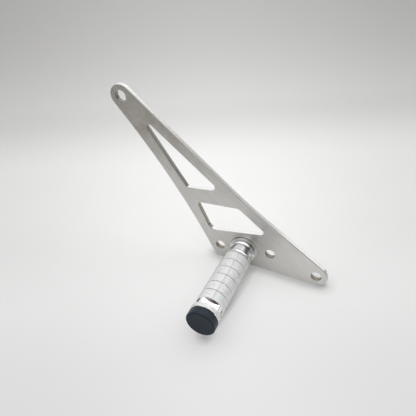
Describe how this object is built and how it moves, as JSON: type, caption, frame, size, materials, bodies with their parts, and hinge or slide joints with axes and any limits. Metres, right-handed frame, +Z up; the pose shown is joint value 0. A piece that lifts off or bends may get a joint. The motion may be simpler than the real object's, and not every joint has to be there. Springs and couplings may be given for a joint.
{
  "type": "footpeg lock bracket",
  "caption": "Flat brushed steel frame bracket with cut-outs, frame holes and a knurled footpeg with wrench flats and a black end cap",
  "frame": {"origin": "centre of the middle frame hole, on the back face of the plate", "axes": "+X along the bottom edge to the right end, +Y into the plate from the peg side to the back, +Z up"},
  "size_m": [0.2117, 0.1131, 0.164],
  "materials": {
    "plate_steel": "brushed",
    "washer_steel": "satin",
    "peg_metal": "turned",
    "cap_plastic": "gloss",
    "zinc_steel": "satin"
  },
  "bodies": {
    "root": {"bracket_plate": "plate_steel", "base_washer": "washer_steel", "footpeg": "peg_metal", "end_cap": "cap_plastic", "peg_screw": "zinc_steel", "lock_washer": "zinc_steel", "back_washer": "zinc_steel"}
  },
  "joints": []
}
